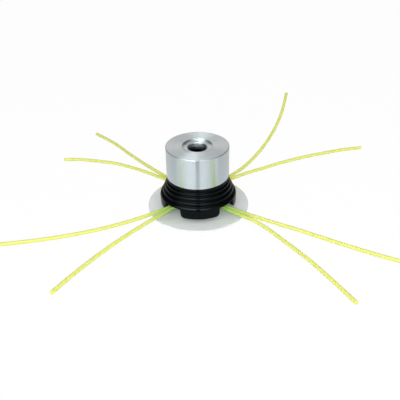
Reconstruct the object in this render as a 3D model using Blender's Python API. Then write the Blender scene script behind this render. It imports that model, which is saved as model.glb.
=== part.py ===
"""Fixed line trimmer head: a turned hub on a ribbed, four-legged housing, with four folded strands over a glide disc.

Lengths below are in millimetres and are turned to metres when a mesh is made. +Z is the axis, up towards the gearbox.
The origin is the middle of the glide disc's underside. The legs stand on X and Y, the line notches on the diagonals.
"""

import math

import bmesh
import bpy
from mathutils import Matrix, Vector

MM = 0.001
SEAT = 0.3  # left between pieces that touch

# Glide disc
DISC_RADIUS = 42.9
DISC_THICKNESS = 1.5
DISC_HOLE_RADIUS = 10.0
DISC_EDGE = 0.25

# Housing, from its legs up
LEG_GAP = 3.8  # legs' rim above the disc
LEG_HEIGHT = 7.5  # rim to notch ceiling
SKIRT_RADIUS = 31.9
SKIRT_WALL = 3.6
SKIRT_DRAFT = 0.15
RIM_ROUND = 0.8
ROOF_ROUND = 1.2
ROOF_THICKNESS = 4.2
ROOF_HOLE_RADIUS = 7.2
DOME_HEIGHT = 16.6  # notch ceiling to the seat of the hub
DOME_TOP_WALL = 2.0
GROOVES = ((2.9, 3.45), (3.9, 6.55), (5.6, 10.3), (7.3, 13.85))  # out from the socket wall, down from the dome's top
BEAD_BULGE = 0.85
SHOULDER_BULGE = 0.5
SHOULDER_DROP = 3.1
NOTCH_WIDTH = 17.0
NOTCH_CORNER = 1.2
LEG_CORNER = 4.5

# Hub
HUB_RADIUS = 26.0
HUB_HEIGHT = 26.2
HUB_CHAMFER = 1.1
HUB_FOOT_CHAMFER = 0.4
BOSS_RADIUS = 22.2
RECESS_RADIUS = 12.7
RECESS_DEPTH = 1.15
MOUTH_RADIUS = 8.3
BORE_RADIUS = 7.6
MOUTH_CHAMFER = 0.85
HUB_PASSAGE_RADIUS = 6.0
INSERT_DEPTH = 5.2  # below the hub's top face
INSERT_LENGTH = 22.0
THREAD_RADIUS = 4.4  # minor radius of the M10 x 1.25 left-hand thread
INSERT_CHAMFER = 0.8

# Line posts and disc screws, on the diagonals
STATIONS = 4
POST_CIRCLE_RADIUS = 16.0
POST_RADIUS = 6.0
POST_WAIST_RADIUS = 4.5
POST_EDGE = 0.4
POST_SOCKET_DEPTH = 1.0
SCREW_RADIUS = 2.0
SCREW_HEAD_RADIUS = 4.0
SCREW_SINK = 0.15  # head below the disc's underside
SCREW_GRIP = 11.0  # thread taken up in the hub
SCREW_HOLE_SPARE = 1.2
SCREW_SOCKET_FLATS = 2.5
SCREW_SOCKET_DEPTH = 1.2

# Line
LINE_DIAMETER = 3.0
LINE_DROP = 3.2  # line's centre below the roof
LANE = 1.75  # half the distance between the two lanes of a strand in its notch
LANE_RADIUS = 34.0  # where both lanes are clear of the skirt
LINE_STEP = 9.0  # between the points of a free end
LOOP_STEP = math.radians(20)
LOOP_REACH = math.radians(100)  # how far the fold turns to each side of its apex

# What follows from the sizes above
DISC_TOP = DISC_THICKNESS
RIM_Z = DISC_TOP + LEG_GAP
ROOF_Z = RIM_Z + LEG_HEIGHT
ROOF_TOP = ROOF_Z + ROOF_THICKNESS
DOME_TOP = ROOF_Z + DOME_HEIGHT
SOCKET_RADIUS = BOSS_RADIUS + SEAT
BOSS_Z = ROOF_TOP + SEAT
HUB_FOOT = DOME_TOP + SEAT
HUB_TOP = HUB_FOOT + HUB_HEIGHT
INSERT_TOP = HUB_TOP - INSERT_DEPTH
INSERT_FOOT = INSERT_TOP - INSERT_LENGTH
LINE_Z = ROOF_Z - LINE_DROP
SCREW_CLEARANCE_RADIUS = SCREW_RADIUS + SEAT
HEAD_CLEARANCE_RADIUS = SCREW_HEAD_RADIUS + SEAT
POST_FOOT = DISC_TOP + SEAT
POST_TOP = ROOF_Z + POST_SOCKET_DEPTH - SEAT

# Each strand: the azimuth of its notch, how far its pair of lanes stands off the middle of the notch, and the route
# of its two free ends from the tip inwards. The first end leaves on the anticlockwise lane.
STRANDS = (
    (45, -2.8,
     ((99, 134.5, 44), (91, 112.5, 33.5), (78.5, 88, 23.5), (61.5, 62.5, 15.5), (44.5, 42, 11)),
     ((158, 59, 17), (143, 59, 16), (122.5, 55.5, 15), (101.5, 50.5, 14), (80.5, 44, 13), (59.5, 36, 11.5),
      (46, 30.5, 11))),
    (135, -1.2,
     ((-126.5, 81.5, 5), (-112.5, 79.5, 5.5), (-94.5, 74, 6), (-76.5, 66, 7), (-59, 55, 7.5), (-41.5, 40.5, 8.5)),
     ((-100, 130.5, 8), (-80.5, 107, 8.5), (-59, 74.5, 9), (-39, 46.5, 9.5))),
    (-135, -3.2,
     ((-103.5, -120.5, 12.5), (-92, -102.5, 12), (-78, -82.5, 11.5), (-62, -62.5, 11), (-44.5, -43, 10.5)),
     ((-155, -63.5, 12), (-139.5, -62, 12), (-116.5, -58, 11.5), (-93, -52, 11), (-69.5, -43.5, 10.5),
      (-50, -34, 10))),
    (-45, -0.9,
     ((141.5, -102.5, 9), (125.5, -93, 9), (99.5, -75.5, 9), (71.5, -56.5, 9.5), (57, -47, 9.5)),
     ((95.5, -140, 8.5), (85, -116, 8.5), (73.5, -93, 9), (60.5, -70.5, 9), (45.5, -47.5, 9.5))),
)
# The lanes between the notch and the post: radius, share of the pair's offset, half the distance between the lanes.
LANES = ((LANE_RADIUS, 1.0, LANE), (30.0, 0.95, LANE), (26.5, 0.7, 2.7), (22.5, 0.3, 4.6))

# Facets round each kind of turned piece
DISC_STEPS = 72
HUB_STEPS = 64
HOUSING_STEPS = 64
INSERT_STEPS = 32
POST_STEPS = 20
SCREW_STEPS = 20
DISH_STEPS = 5


def material(name, colour, roughness, metallic=0.0):
    """A Principled material with one colour, given in linear values."""
    made = bpy.data.materials.new(name)
    made.use_nodes = True
    shader = made.node_tree.nodes["Principled BSDF"]
    shader.inputs["Base Color"].default_value = (*colour, 1.0)
    shader.inputs["Roughness"].default_value = roughness
    shader.inputs["Metallic"].default_value = metallic
    made.diffuse_color = (*colour, 1.0)
    return made


def arc(centre, radius, start, end, steps):
    """Points (r, z) along an arc, both ends included; angles in degrees."""
    angles = [math.radians(start + (end - start) * i / steps) for i in range(steps + 1)]
    return [(centre[0] + radius * math.cos(a), centre[1] + radius * math.sin(a)) for a in angles]


def bulged(low, high, bulge, steps):
    """Points from low to high on an arc that stands out from their chord by bulge; high is left out."""
    along = Vector(high) - Vector(low)
    out = Vector((along.y, -along.x)).normalized()
    radius = (along.length_squared / 4 + bulge * bulge) / (2 * bulge)
    centre = (Vector(low) + Vector(high)) / 2 - out * (radius - bulge)
    half = math.asin(along.length / 2 / radius)
    points = []
    for i in range(steps):
        turn = half * (2 * i / steps - 1)
        points.append(tuple(centre + (out * math.cos(turn) + along.normalized() * math.sin(turn)) * radius))
    return points


def turned(name, profile, steps, finish=None, centre=(0.0, 0.0)):
    """A closed profile of (r, z) points turned once round a vertical axis at centre."""
    shape = bmesh.new()
    ring = [shape.verts.new((r * MM, 0.0, z * MM)) for r, z in profile]
    edges = [shape.edges.new((a, b)) for a, b in zip(ring, ring[1:] + ring[:1]) if (a.co - b.co).length > 0]
    on_axis = [e for e in edges if all(abs(v.co.x) < 1e-9 for v in e.verts)]
    bmesh.ops.delete(shape, geom=on_axis, context="EDGES_FACES")
    bmesh.ops.spin(shape, geom=shape.verts[:] + shape.edges[:], cent=(0, 0, 0), axis=(0, 0, 1),
                   angle=math.tau, steps=steps)
    bmesh.ops.remove_doubles(shape, verts=shape.verts[:], dist=1e-6)
    bmesh.ops.recalc_face_normals(shape, faces=shape.faces[:])
    bmesh.ops.translate(shape, verts=shape.verts[:], vec=(centre[0] * MM, centre[1] * MM, 0.0))
    return finished(name, shape, finish)


def finished(name, shape, finish=None):
    """Turns a bmesh into a smooth-shaded object of its own."""
    mesh = bpy.data.meshes.new(name)
    shape.to_mesh(mesh)
    shape.free()
    mesh.shade_smooth()
    mesh.set_sharp_from_angle(angle=math.radians(35))
    made = bpy.data.objects.new(name, mesh)
    bpy.context.scene.collection.objects.link(made)
    if finish:
        mesh.materials.append(finish)
    return made


def extruded(name, outline, start, length):
    """A closed outline of (x, z) points, drawn at y = start and extruded along +Y."""
    shape = bmesh.new()
    face = shape.faces.new([shape.verts.new((x * MM, start * MM, z * MM)) for x, z in outline])
    grown = bmesh.ops.extrude_face_region(shape, geom=[face])
    moved = [v for v in grown["geom"] if isinstance(v, bmesh.types.BMVert)]
    bmesh.ops.translate(shape, verts=moved, vec=(0.0, length * MM, 0.0))
    bmesh.ops.recalc_face_normals(shape, faces=shape.faces[:])
    return finished(name, shape)


def cut(body, cutter):
    """Takes cutter away from body and keeps it as a hidden guide."""
    cutter.hide_render = True
    cutter.display_type = "WIRE"
    step = body.modifiers.new(cutter.name, "BOOLEAN")
    step.operation = "DIFFERENCE"
    step.solver = "EXACT"
    step.object = cutter


def stations():
    """Where the posts and screws stand: number, azimuth and centre."""
    for i in range(STATIONS):
        azimuth = math.radians(45 + 360 / STATIONS * i)
        yield i + 1, azimuth, (POST_CIRCLE_RADIUS * math.cos(azimuth), POST_CIRCLE_RADIUS * math.sin(azimuth))


def make_hub(finish):
    """Turned aluminium hub: flange on the dome, boss in its socket, dished recess, bore and four tapped holes."""
    dish_reach = RECESS_RADIUS - MOUTH_RADIUS
    dish = []
    for i in range(DISH_STEPS + 1):
        share = i / DISH_STEPS
        dish.append((RECESS_RADIUS - dish_reach * share,
                     HUB_TOP - RECESS_DEPTH * math.sqrt(1 - (1 - share) ** 2)))
    mouth_foot = HUB_TOP - RECESS_DEPTH - MOUTH_CHAMFER
    profile = [
        (HUB_PASSAGE_RADIUS, BOSS_Z),
        (BOSS_RADIUS - HUB_FOOT_CHAMFER, BOSS_Z),
        (BOSS_RADIUS, BOSS_Z + HUB_FOOT_CHAMFER),
        (BOSS_RADIUS, HUB_FOOT),
        (HUB_RADIUS - HUB_FOOT_CHAMFER, HUB_FOOT),
        (HUB_RADIUS, HUB_FOOT + HUB_FOOT_CHAMFER),
        (HUB_RADIUS, HUB_TOP - HUB_CHAMFER),
        (HUB_RADIUS - HUB_CHAMFER, HUB_TOP),
        *dish,
        (BORE_RADIUS, mouth_foot),
        (BORE_RADIUS, INSERT_FOOT - SEAT),
        (HUB_PASSAGE_RADIUS, INSERT_FOOT - SEAT),
    ]
    hub = turned("hub", profile, HUB_STEPS, finish)
    depth = SCREW_GRIP + SCREW_HOLE_SPARE
    for number, _, centre in stations():
        hole = [(0, BOSS_Z - 1), (SCREW_CLEARANCE_RADIUS, BOSS_Z - 1), (SCREW_CLEARANCE_RADIUS, BOSS_Z + depth),
                (0, BOSS_Z + depth + SCREW_RADIUS / 2)]
        cut(hub, turned(f"cut_tapped_hole_{number}", hole, SCREW_STEPS, centre=centre))
    return hub


def make_insert(finish):
    """Steel bush with the left-hand thread, pressed down the hub's bore onto its shoulder."""
    outer = BORE_RADIUS - SEAT
    turned("thread_insert", [
        (THREAD_RADIUS + INSERT_CHAMFER, INSERT_FOOT),
        (outer - INSERT_CHAMFER, INSERT_FOOT),
        (outer, INSERT_FOOT + INSERT_CHAMFER),
        (outer, INSERT_TOP),
        (THREAD_RADIUS + INSERT_CHAMFER, INSERT_TOP),
        (THREAD_RADIUS, INSERT_TOP - INSERT_CHAMFER),
        (THREAD_RADIUS, INSERT_FOOT + INSERT_CHAMFER),
    ], INSERT_STEPS, finish)


def notch_outline():
    """Outline of one line notch as a cutter: parallel sides, a soft ceiling corner and wide leg corners."""
    half = NOTCH_WIDTH / 2
    below = RIM_Z - 2
    right = [(half + LEG_CORNER, below)]
    right += arc((half + LEG_CORNER, RIM_Z + LEG_CORNER), LEG_CORNER, 270, 180, 5)
    right += arc((half - NOTCH_CORNER, ROOF_Z - NOTCH_CORNER), NOTCH_CORNER, 0, 90, 3)
    return right + [(-x, z) for x, z in reversed(right)]


def make_housing(finish):
    """Moulded housing: five stepped beads over a skirt that four notches part into legs, and a roof for the posts."""
    inner = SKIRT_RADIUS - SKIRT_WALL
    grooves = [(SOCKET_RADIUS + out, DOME_TOP - down) for out, down in reversed(GROOVES)]
    rim_edge = (SOCKET_RADIUS + DOME_TOP_WALL, DOME_TOP)
    shoulder = (SKIRT_RADIUS, grooves[0][1] - SHOULDER_DROP)
    low_radius = SKIRT_RADIUS - SKIRT_DRAFT
    profile = arc((inner + RIM_ROUND, RIM_Z + RIM_ROUND), RIM_ROUND, 180, 270, 2)
    profile += arc((low_radius - RIM_ROUND, RIM_Z + RIM_ROUND), RIM_ROUND, 270, 360, 3)
    profile += bulged(shoulder, grooves[0], SHOULDER_BULGE, 4)
    for low, high in zip(grooves, grooves[1:] + [rim_edge]):
        profile += bulged(low, high, BEAD_BULGE, 4)
    profile += [rim_edge, (SOCKET_RADIUS, DOME_TOP), (SOCKET_RADIUS, ROOF_TOP), (ROOF_HOLE_RADIUS, ROOF_TOP),
                (ROOF_HOLE_RADIUS, ROOF_Z)]
    profile += arc((inner - ROOF_ROUND, ROOF_Z - ROOF_ROUND), ROOF_ROUND, 90, 0, 2)
    housing = turned("housing", profile, HOUSING_STEPS, finish)
    for number, azimuth, centre in stations():
        notch = extruded(f"cut_notch_{number}", notch_outline(), POST_CIRCLE_RADIUS + POST_RADIUS, SKIRT_RADIUS)
        notch.data.transform(Matrix.Rotation(azimuth - math.pi / 2, 4, "Z"))
        cut(housing, notch)
        socket = [(0, ROOF_Z - 1), (POST_RADIUS + SEAT, ROOF_Z - 1), (POST_RADIUS + SEAT, ROOF_Z + POST_SOCKET_DEPTH),
                  (SCREW_CLEARANCE_RADIUS, ROOF_Z + POST_SOCKET_DEPTH), (SCREW_CLEARANCE_RADIUS, ROOF_TOP + 1),
                  (0, ROOF_TOP + 1)]
        cut(housing, turned(f"cut_post_socket_{number}", socket, POST_STEPS, centre=centre))


def make_disc(finish):
    """Flat glide disc with a hole for the shaft bolt and four countersinks."""
    disc = turned("glide_disc", [
        (DISC_HOLE_RADIUS, 0),
        (DISC_RADIUS - DISC_EDGE, 0),
        (DISC_RADIUS, DISC_EDGE),
        (DISC_RADIUS, DISC_TOP - DISC_EDGE),
        (DISC_RADIUS - DISC_EDGE, DISC_TOP),
        (DISC_HOLE_RADIUS, DISC_TOP),
    ], DISC_STEPS, finish)
    for number, _, centre in stations():
        sink = [(0, -1), (HEAD_CLEARANCE_RADIUS, -1), (HEAD_CLEARANCE_RADIUS, SCREW_SINK),
                (HEAD_CLEARANCE_RADIUS - (DISC_TOP - SCREW_SINK), DISC_TOP),
                (HEAD_CLEARANCE_RADIUS - (DISC_TOP - SCREW_SINK), DISC_TOP + 1), (0, DISC_TOP + 1)]
        cut(disc, turned(f"cut_countersink_{number}", sink, SCREW_STEPS, centre=centre))


def make_posts(finish):
    """Turned steel posts, waisted where the fold of a strand lies, which hold the disc off the legs."""
    groove = LINE_DIAMETER / 2 + SEAT
    bore = SCREW_CLEARANCE_RADIUS
    sink = max(HEAD_CLEARANCE_RADIUS - (POST_FOOT - SCREW_SINK), bore + 0.1)
    for number, _, centre in stations():
        turned(f"line_post_{number}", [
            (sink, POST_FOOT),
            (POST_RADIUS - POST_EDGE, POST_FOOT),
            (POST_RADIUS, POST_FOOT + POST_EDGE),
            (POST_RADIUS, LINE_Z - groove),
            (POST_WAIST_RADIUS, LINE_Z - groove),
            (POST_WAIST_RADIUS, LINE_Z + groove),
            (POST_RADIUS, LINE_Z + groove),
            (POST_RADIUS, POST_TOP),
            (bore, POST_TOP),
            (bore, POST_FOOT + sink - bore),
        ], POST_STEPS, finish, centre)


def make_screws(finish):
    """Countersunk screws through disc, post and roof into the hub."""
    neck = SCREW_SINK + SCREW_HEAD_RADIUS - SCREW_RADIUS
    tip = BOSS_Z + SCREW_GRIP
    for number, azimuth, centre in stations():
        screw = turned(f"disc_screw_{number}", [
            (0, SCREW_SINK),
            (SCREW_HEAD_RADIUS, SCREW_SINK),
            (SCREW_RADIUS, neck),
            (SCREW_RADIUS, tip - SCREW_RADIUS / 2),
            (SCREW_RADIUS / 2, tip),
            (0, tip),
        ], SCREW_STEPS, finish, centre)
        reach = SCREW_SOCKET_FLATS / math.sqrt(3)
        hexagon = [(reach * math.cos(math.tau * i / 6), reach * math.sin(math.tau * i / 6)) for i in range(6)]
        key = extruded(f"cut_key_{number}", hexagon, 0.0, SCREW_SOCKET_DEPTH + 1)
        upright = Matrix.Rotation(azimuth, 4, "Z") @ Matrix.Rotation(math.pi / 2, 4, "X")
        place = Vector((*centre, SCREW_SINK - 1)) * MM
        key.data.transform(Matrix.Translation(place) @ upright)
        cut(screw, key)


def strand_guides(azimuth, offset, first_end, second_end):
    """The points that one strand's centreline passes through, from tip to tip."""
    outward = Vector((math.cos(azimuth), math.sin(azimuth), 0))
    across = Vector((-math.sin(azimuth), math.cos(azimuth), 0))
    level = Vector((0, 0, LINE_Z))

    def lane(side):
        return [outward * r + across * (offset * share + side * half) + level for r, share, half in LANES]

    fold_radius = POST_WAIST_RADIUS + SEAT + LINE_DIAMETER / 2
    fold = []
    turns = round(2 * LOOP_REACH / LOOP_STEP)
    for i in range(turns + 1):
        turn = math.pi - LOOP_REACH + 2 * LOOP_REACH * i / turns
        fold.append(outward * (POST_CIRCLE_RADIUS + fold_radius * math.cos(turn))
                    + across * fold_radius * math.sin(turn) + level)
    return ([Vector(p) for p in first_end] + lane(1) + fold
            + list(reversed(lane(-1))) + [Vector(p) for p in reversed(second_end)])


def smooth_line(guides):
    """Points along a smooth curve through the guides, no further apart than LINE_STEP."""
    padded = [2 * guides[0] - guides[1]] + guides + [2 * guides[-1] - guides[-2]]
    points = []
    for a, b, c, d in zip(padded, padded[1:], padded[2:], padded[3:]):
        knots = [0.0]
        for p, q in ((a, b), (b, c), (c, d)):
            knots.append(knots[-1] + math.sqrt((q - p).length))
        pieces = max(1, round((c - b).length / LINE_STEP))
        for i in range(pieces):
            t = knots[1] + (knots[2] - knots[1]) * i / pieces
            ab = a.lerp(b, (t - knots[0]) / (knots[1] - knots[0]))
            bc = b.lerp(c, (t - knots[1]) / (knots[2] - knots[1]))
            cd = c.lerp(d, (t - knots[2]) / (knots[3] - knots[2]))
            abc = ab.lerp(bc, (t - knots[0]) / (knots[2] - knots[0]))
            bcd = bc.lerp(cd, (t - knots[1]) / (knots[3] - knots[1]))
            points.append(abc.lerp(bcd, (t - knots[1]) / (knots[2] - knots[1])))
    return points + [guides[-1]]


def make_strands(finish):
    """Nylon strands, each folded round its post with both ends out of one notch."""
    for number, (azimuth, offset, first_end, second_end) in enumerate(STRANDS, 1):
        points = smooth_line(strand_guides(math.radians(azimuth), offset, first_end, second_end))
        curve = bpy.data.curves.new(f"line_strand_{number}", "CURVE")
        curve.dimensions = "3D"
        curve.bevel_depth = LINE_DIAMETER / 2 * MM
        curve.bevel_resolution = 2
        curve.use_fill_caps = True
        spline = curve.splines.new("POLY")
        spline.points.add(len(points) - 1)
        for spot, point in zip(spline.points, points):
            spot.co = (*(point * MM), 1.0)
        curve.materials.append(finish)
        strand = bpy.data.objects.new(f"line_strand_{number}", curve)
        bpy.context.scene.collection.objects.link(strand)


def main():
    for old in list(bpy.data.objects):
        bpy.data.objects.remove(old)
    make_hub(material("turned_aluminium", (0.62, 0.63, 0.64), 0.3, 1.0))
    make_insert(material("blackened_steel", (0.05, 0.05, 0.055), 0.45, 1.0))
    make_housing(material("black_nylon", (0.006, 0.007, 0.008), 0.35))
    make_disc(material("brushed_steel", (0.6, 0.61, 0.61), 0.4, 1.0))
    make_posts(material("bright_steel", (0.5, 0.5, 0.5), 0.35, 1.0))
    make_screws(material("zinc_plated_steel", (0.45, 0.46, 0.48), 0.35, 1.0))
    make_strands(material("yellow_green_nylon", (0.8, 0.87, 0.2), 0.35))


if __name__ == "__main__":
    main()
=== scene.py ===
"""Fixed line trimmer head: the finished pieces, their materials and a white studio table.

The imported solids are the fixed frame. Each one gets a finished piece over it, made with the modelling tools a maker
would use by hand: sections drawn point by point and spun, outlines filled and extruded, cutters and bevels.
Everything is in metres. +Z is the axis of turning, and the origin is the middle of the glide disc's underside.
"""

import math

import bpy
from bpy.props import FloatProperty, FloatVectorProperty, IntProperty, PointerProperty
from mathutils import Matrix, Vector


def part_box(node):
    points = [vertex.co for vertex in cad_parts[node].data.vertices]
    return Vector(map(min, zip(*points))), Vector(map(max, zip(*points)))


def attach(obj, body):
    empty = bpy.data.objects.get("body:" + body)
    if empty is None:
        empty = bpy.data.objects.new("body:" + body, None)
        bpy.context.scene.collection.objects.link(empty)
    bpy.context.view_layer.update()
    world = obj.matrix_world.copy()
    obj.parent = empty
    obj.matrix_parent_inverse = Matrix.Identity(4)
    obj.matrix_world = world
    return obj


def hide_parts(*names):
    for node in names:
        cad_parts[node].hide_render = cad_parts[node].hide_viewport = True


bl_info = {
    "name": "Fixed Line Trimmer Head",
    "version": (1, 0, 0),
    "blender": (4, 5, 0),
    "location": "3D View > Sidebar > Trimmer Head",
    "description": "Models and dresses a fixed line trimmer head piece by piece",
    "category": "Object",
}

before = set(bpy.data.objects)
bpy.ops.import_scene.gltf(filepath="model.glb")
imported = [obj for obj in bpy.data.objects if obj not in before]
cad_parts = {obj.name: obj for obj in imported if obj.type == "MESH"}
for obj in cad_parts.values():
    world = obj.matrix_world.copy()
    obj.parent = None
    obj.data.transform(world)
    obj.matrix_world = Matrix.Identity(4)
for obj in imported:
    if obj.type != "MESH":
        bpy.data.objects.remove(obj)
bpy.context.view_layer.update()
BODY = "root"
MM = 0.001
SEAT = 0.3 * MM  # left between pieces that touch

# Heights of the solids, read from the frame
HUB_LOW, HUB_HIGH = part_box("hub")
INSERT_LOW, INSERT_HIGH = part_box("thread_insert")
HOUSING_LOW, HOUSING_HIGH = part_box("housing")
DISC_LOW, DISC_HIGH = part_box("glide_disc")
POST_LOW, POST_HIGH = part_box("line_post_1")
SCREW_LOW, SCREW_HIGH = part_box("disc_screw_1")
ROOF_THICKNESS = 4.2 * MM
LINE_DROP = 3.2 * MM  # middle of the folds below the roof
ROOF_TOP = HUB_LOW.z - SEAT
ROOF_Z = ROOF_TOP - ROOF_THICKNESS
LINE_Z = ROOF_Z - LINE_DROP
STATIONS = [math.radians(45 + 90 * i) for i in range(4)]
OVERCUT = MM  # how far a cutter reaches past the face that it opens
NOISE_RANGE = {"From Min": 0.3, "From Max": 0.7}  # where most of a noise's values lie

# Grooves between the beads in millimetres, lowest first: out from the socket's wall and down from the housing's top
GROOVES = ((7.3, 13.85), (5.6, 10.3), (3.9, 6.55), (2.9, 3.45))

# Routes of the free ends in millimetres, tip first: azimuth of the notch, how far its pair of lanes stands off the
# middle of the notch, and the points of both ends. The first end leaves on the anticlockwise lane.
STRANDS = (
    (45, -2.8,
     ((99, 134.5, 44), (91, 112.5, 33.5), (78.5, 88, 23.5), (61.5, 62.5, 15.5), (44.5, 42, 11)),
     ((158, 59, 17), (143, 59, 16), (122.5, 55.5, 15), (101.5, 50.5, 14), (80.5, 44, 13), (59.5, 36, 11.5),
      (46, 30.5, 11))),
    (135, -1.2,
     ((-126.5, 81.5, 5), (-112.5, 79.5, 5.5), (-94.5, 74, 6), (-76.5, 66, 7), (-59, 55, 7.5), (-41.5, 40.5, 8.5)),
     ((-100, 130.5, 8), (-80.5, 107, 8.5), (-59, 74.5, 9), (-39, 46.5, 9.5))),
    (-135, -3.2,
     ((-103.5, -120.5, 12.5), (-92, -102.5, 12), (-78, -82.5, 11.5), (-62, -62.5, 11), (-44.5, -43, 10.5)),
     ((-155, -63.5, 12), (-139.5, -62, 12), (-116.5, -58, 11.5), (-93, -52, 11), (-69.5, -43.5, 10.5),
      (-50, -34, 10))),
    (-45, -0.9,
     ((141.5, -102.5, 9), (125.5, -93, 9), (99.5, -75.5, 9), (71.5, -56.5, 9.5), (57, -47, 9.5)),
     ((95.5, -140, 8.5), (85, -116, 8.5), (73.5, -93, 9), (60.5, -70.5, 9), (45.5, -47.5, 9.5))),
)
# The lanes between the notch and the post: radius, share of the pair's offset, half the distance between the lanes
LANES = ((34.0, 1.0, 1.52), (30.0, 0.95, 1.52), (26.5, 0.7, 2.6), (22.5, 0.3, 4.6))
FOLD_POINTS, FOLD_STEP = 6, math.radians(20)  # guide points on half a fold, and the turn from one to the next

# The cards and flags of the studio, in metres and degrees: size, place, the way the face looks, a turn about the axis
# that takes place and face together, brightness (a number, or the setting that holds it) and, if not white, tint.
CARDS = (
    # bright overhead, in the hub's recess and rim
    ("card_top", (0.43, 0.9), (-0.215, 0.15, 1.0), "up", 0, "top_level"),
    # dark to both sides, in the sides of recess and rim
    ("flag_left", (1.03, 0.75), (-0.3, 0.435, 0.375), "along_x", 0, 0.1),
    ("flag_right", (1.07, 0.75), (0.3, 0.415, 0.375), "along_x", 0, 0.1),
    # the camera's dark strip in the middle of the hub's side, and a paler one in it
    ("flag_camera", (0.04, 0.34), (-0.0105, -0.2, 0.17), "along_y", 0, 0.004),
    ("card_table", (0.016, 0.14), (-0.006, -0.125, 0.001), "up", 0, 0.75),
    # behind the head, in the hub's top from its front to its back
    ("card_above", (1.8, 0.7), (0, 0.45, 1.25), "up", 0, 0.35),
    ("flag_back", (0.8, 0.08), (0, 0.3, 0.04), "along_y", 0, 0.004),
    ("card_back", (1.6, 0.34), (0, 0.62, 0.35), "along_y", 0, "card_level", "#fff8f3"),
    # below the lines in front, which makes their reflections in the hub's side stronger
    ("card_line_left", (0.016, 0.11), (0, -0.1, 0.001), "up", -61.5, 1.0, "#ecffd6"),
    ("card_line_right", (0.022, 0.11), (0, -0.1, 0.001), "up", 48, 1.0, "#e4ffbb"),
)
UPRIGHT = Matrix.Rotation(math.pi / 2, 4, "X")
FACING = {"up": Matrix.Identity(4), "along_y": UPRIGHT, "along_x": Matrix.Rotation(math.pi / 2, 4, "Z") @ UPRIGHT}


def linear(code):
    """A colour written as an sRGB hex value, turned to linear."""
    parts = [int(code[i:i + 2], 16) / 255 for i in (1, 3, 5)]
    return [c / 12.92 if c <= 0.04045 else ((c + 0.055) / 1.055) ** 2.4 for c in parts]


def length(name, description, millimetres):
    return FloatProperty(name=name, description=description, default=millimetres * MM, min=0.0, unit="LENGTH",
                         precision=5)


def share(name, description, default):
    return FloatProperty(name=name, description=description, default=default, min=0.0, max=1.0, subtype="FACTOR")


def quantity(name, description, default):
    return FloatProperty(name=name, description=description, default=default, min=0.0)


def degrees(name, description, default):
    return FloatProperty(name=name, description=description, default=math.radians(default), subtype="ANGLE")


def colour(name, description, code):
    return FloatVectorProperty(name=name, description=description, default=linear(code), size=3, min=0.0, max=1.0,
                               subtype="COLOR")


def steps(name, description, default):
    return IntProperty(name=name, description=description, default=default, min=16, max=512)


class HubSettings(bpy.types.PropertyGroup):
    """Sizes and finish of the turned hub"""
    radius: length("Radius", "Outside of the hub", 26.0)
    chamfer: length("Rim Chamfer", "Width of the chamfer round the top face", 0.4)
    chamfer_drop: length("Rim Chamfer Drop", "Height of that chamfer", 0.23)
    boss_radius: length("Boss Radius", "Boss that stands in the housing's socket", 22.2)
    foot: length("Foot Height", "Underside of the flange above the ground", 29.7)
    recess_radius: length("Recess Radius", "Register for the gearbox's spigot", 12.7)
    recess_depth: length("Recess Depth", "Depth of the dish at the bore's mouth", 1.5)
    mouth_radius: length("Mouth Radius", "Inner edge of the dish", 8.6)
    mouth_round: length("Mouth Round", "Rounding from the dish into the bore", 0.5)
    neck_radius: length("Neck Radius", "Short open bore above the bush", 8.05)
    bore_radius: length("Bore Radius", "Bore that the threaded bush is pressed into", 7.6)
    passage_radius: length("Passage Radius", "Passage under the bush", 6.0)
    turned_steps: steps("Steps", "Facets round the hub", 192)
    rim_round: length("Rim Round", "Rounding of the rim chamfer's edges", 0.1)
    foot_round: length("Foot Round", "Rounding of the flange's lower edge", 0.35)
    boss_round: length("Boss Round", "Rounding of the boss's lower edge", 0.4)
    mark: length("Tool Marks", "Size at which the tool marks are drawn", 0.5)
    metal: colour("Aluminium", "Colour of the turned face", "#c2ccd0")
    roughness: share("Roughness", "Roughness of the turned face", 0.3)
    grain: share("Turned Grain", "How strongly the tool marks stretch the reflections", 0.95)


class InsertSettings(bpy.types.PropertyGroup):
    """Sizes and finish of the threaded steel bush"""
    radius: length("Radius", "Outside of the bush", 7.3)
    major_radius: length("Major Radius", "Root of the internal thread", 5.0)
    core_radius: length("Core Radius", "Crest of the internal thread", 4.4)
    pitch: length("Pitch", "Rise of the left-hand thread in one turn", 1.25)
    proud: length("Proud", "How far the bush stands proud of its bore", 0.8)
    chamfer: length("Chamfer", "Lead-in at both ends", 0.8)
    foot_round: length("Foot Round", "Rounding of the lower end", 0.6)
    top_round: length("Top Round", "Rounding of the upper end", 0.2)
    metal: colour("Steel", "Colour of the blackened steel", "#1e1f21")
    roughness: share("Roughness", "Roughness of the blackened face", 0.42)


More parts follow.
